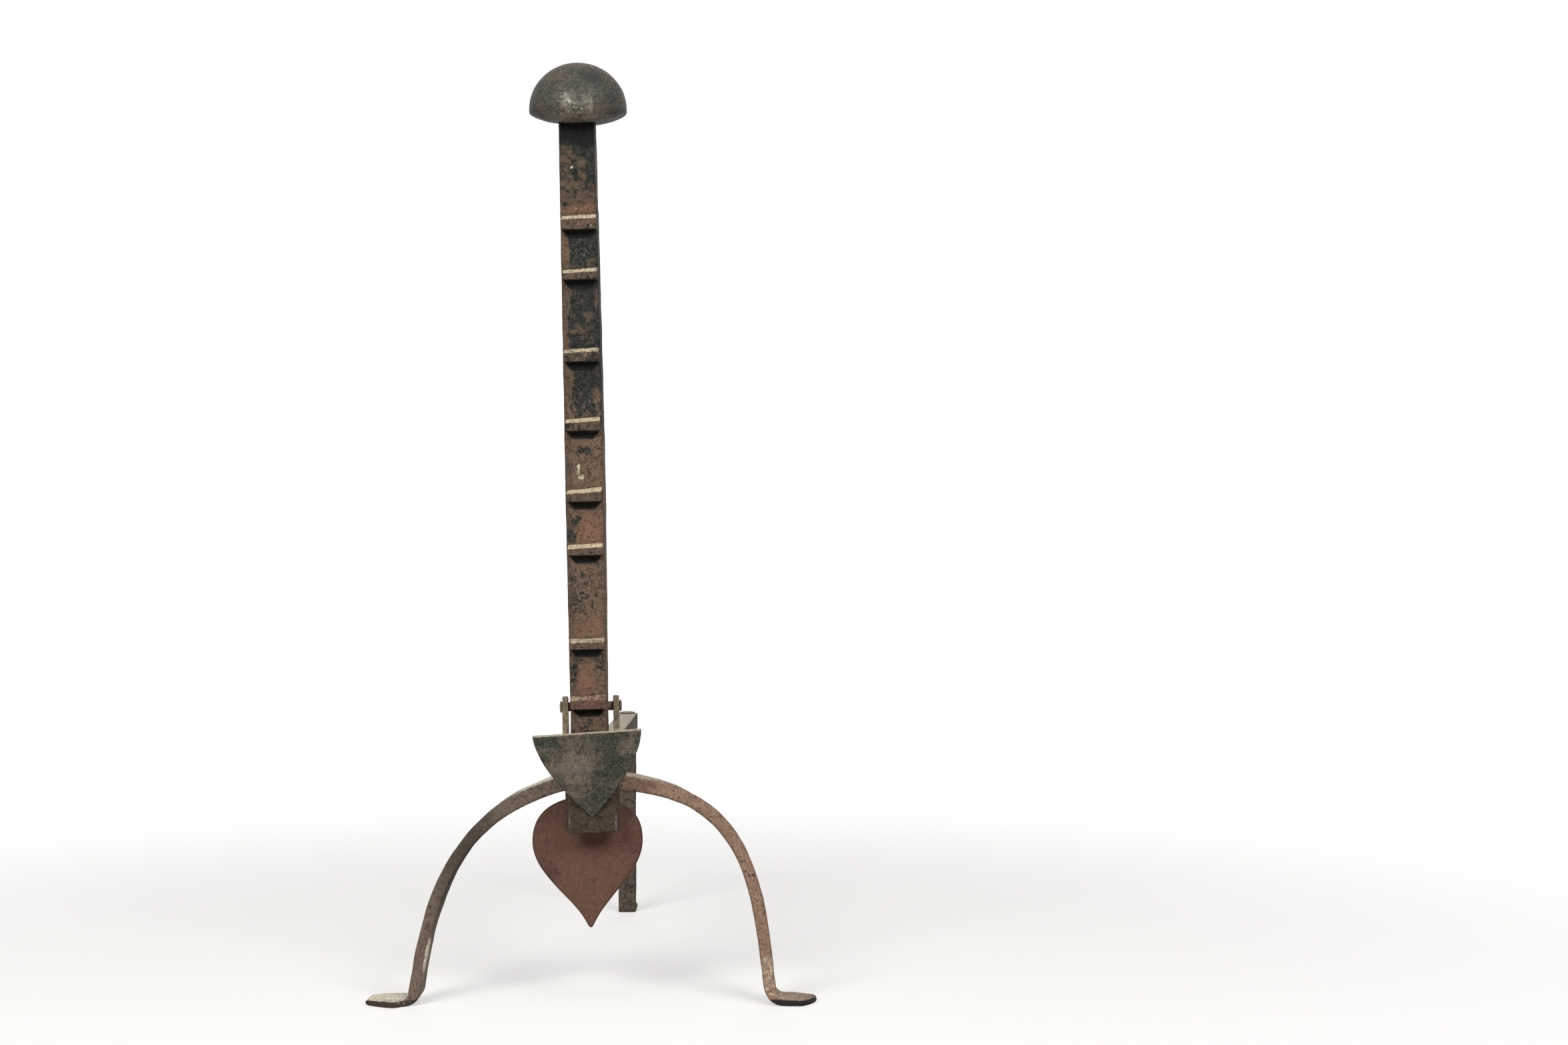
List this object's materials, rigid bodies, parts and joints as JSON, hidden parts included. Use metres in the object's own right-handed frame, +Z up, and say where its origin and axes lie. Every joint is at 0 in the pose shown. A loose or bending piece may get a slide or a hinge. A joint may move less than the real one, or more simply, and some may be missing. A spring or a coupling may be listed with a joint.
{
  "type": "andiron",
  "caption": "Forged iron andiron: domed knob, stepped square shaft, arched legs, heart drop, rear billet bar, and a shield-fronted spit hook that slides and swings.",
  "frame": {"origin": "on the hearth, at the bottom centre of the whole andiron's box", "axes": "+Z up along the shaft, -Y towards the room (the front, with the shield), +X to the viewer's right, square to the billet bar"},
  "size_m": [0.34, 0.5036, 0.7099],
  "materials": {
    "shaft_iron": "black-brown forge scale with rust patches, satin",
    "knob_iron": "dark patina, polished by hands on its crown",
    "ledge_iron": "rusty brown, rubbed pale along the top edge",
    "leg_iron": "taupe-brown scale with pale ash crust on its upper faces",
    "heart_iron": "even reddish-brown rust, fine and matt",
    "billet_iron": "fire-scaled grey-brown, rough",
    "stirrup_iron": "worn brown iron",
    "hook_iron": "dark brown, rubbed pale along its edges",
    "shield_iron": "mottled green-black and taupe patina"
  },
  "bodies": {
    "frame": {"shaft": "shaft_iron", "knob": "knob_iron", "ledge_1": "ledge_iron", "ledge_2": "ledge_iron", "ledge_3": "ledge_iron", "ledge_4": "ledge_iron", "ledge_5": "ledge_iron", "ledge_6": "ledge_iron", "ledge_7": "ledge_iron", "ledge_8": "ledge_iron", "left_leg": "leg_iron", "right_leg": "leg_iron", "heart_drop": "heart_iron", "billet_bar": "billet_iron", "rear_leg": "billet_iron"},
    "stirrup_pin": {"cross_pin": "stirrup_iron"},
    "spit_hook": {"left_link": "stirrup_iron", "right_link": "stirrup_iron", "hook_channel": "hook_iron", "shield": "shield_iron"}
  },
  "joints": [
    {"name": "hook_slide", "type": "slide", "parent": "frame", "child": "stirrup_pin", "axis": [-0.0202, 0, 0.9998], "range_m": [0, 0.4]},
    {"name": "hook_swing", "type": "hinge", "parent": "stirrup_pin", "child": "spit_hook", "pos_m": [-0.00244, -0.17603, 0.22277], "axis": [-0.9964, -0.0819, -0.0202], "range_deg": [0, 45]}
  ]
}
